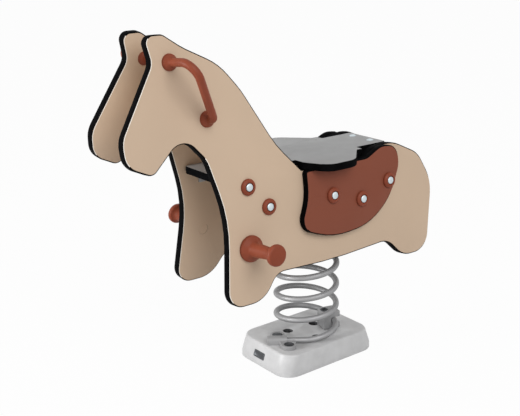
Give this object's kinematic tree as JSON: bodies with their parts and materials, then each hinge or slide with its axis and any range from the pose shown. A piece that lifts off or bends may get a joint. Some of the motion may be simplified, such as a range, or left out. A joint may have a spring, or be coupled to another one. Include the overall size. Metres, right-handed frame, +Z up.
{
  "type": "spring rider",
  "caption": "Horse-shaped spring rider: two leaning board panels with a flat seat, saddle flaps, handles and foot pegs, rocking on a coil spring clamped to a low base.",
  "frame": {"origin": "centre of the ground plate's underside, on the ground under the spring's axis", "axes": "the horse faces -X, +Y to the side that the picture doesn't show, +Z up"},
  "size_m": [0.9515, 0.4406, 0.9171],
  "materials": {
    "tan_board": "satin, black at the cut edges",
    "terracotta_board": "satin, black at the cut edges",
    "grey_board": "satin, black at the cut edges",
    "terracotta_nylon": "satin",
    "terracotta_grip": "satin",
    "bright_bolts": "bright",
    "plain_fasteners": "zinc plated",
    "clamp_bolts": "dark",
    "galvanised_steel": "dull zinc",
    "grey_coated_spring": "powder coat, satin",
    "grey_coated_casting": "powder coat, satin"
  },
  "bodies": {
    "anchor": {"base_casting": "grey_coated_casting", "ground_plate": "galvanised_steel", "ground_plate_screws": "plain_fasteners", "lower_end_clamp": "grey_coated_casting", "lower_side_clamp": "grey_coated_casting", "lower_clamp_bolts": "clamp_bolts"},
    "spring": {"spring": "grey_coated_spring"},
    "rider": {"upper_end_clamp": "grey_coated_casting", "upper_side_clamp": "grey_coated_casting", "upper_clamp_bolts": "clamp_bolts", "spring_top_plate": "galvanised_steel", "left_spring_bracket": "galvanised_steel", "right_spring_bracket": "galvanised_steel", "bracket_bolts": "plain_fasteners", "left_panel": "tan_board", "right_panel": "tan_board", "left_saddle_flap": "terracotta_board", "right_saddle_flap": "terracotta_board", "seat_board": "grey_board", "seat_bolts": "bright_bolts", "seat_nuts": "plain_fasteners", "rear_seat_bracket": "galvanised_steel", "front_seat_bracket": "galvanised_steel", "left_bolt_collars": "terracotta_nylon", "right_bolt_collars": "terracotta_nylon", "left_panel_bolts": "bright_bolts", "right_panel_bolts": "bright_bolts", "left_panel_nuts": "plain_fasteners", "right_panel_nuts": "plain_fasteners", "left_handle": "terracotta_grip", "right_handle": "terracotta_grip", "handle_bolts": "plain_fasteners", "handle_bolt_caps": "terracotta_nylon", "left_foot_peg": "terracotta_grip", "right_foot_peg": "terracotta_grip", "peg_bolts": "plain_fasteners", "peg_bolt_plugs": "tan_board"}
  },
  "joints": [
    {"name": "rock_fore_aft", "type": "hinge", "parent": "anchor", "child": "spring", "pos_m": [0, 0, 0.205], "axis": [0, 1, 0], "range_deg": [-20, 20], "stiffness_Nm_per_rad": 700, "springref_deg": 1.32, "deforming": ["spring"]},
    {"name": "rock_sideways", "type": "hinge", "parent": "spring", "child": "rider", "pos_m": [0, 0, 0.205], "axis": [1, 0, 0], "range_deg": [-15, 15], "stiffness_Nm_per_rad": 700, "deforming": ["spring"]}
  ]
}
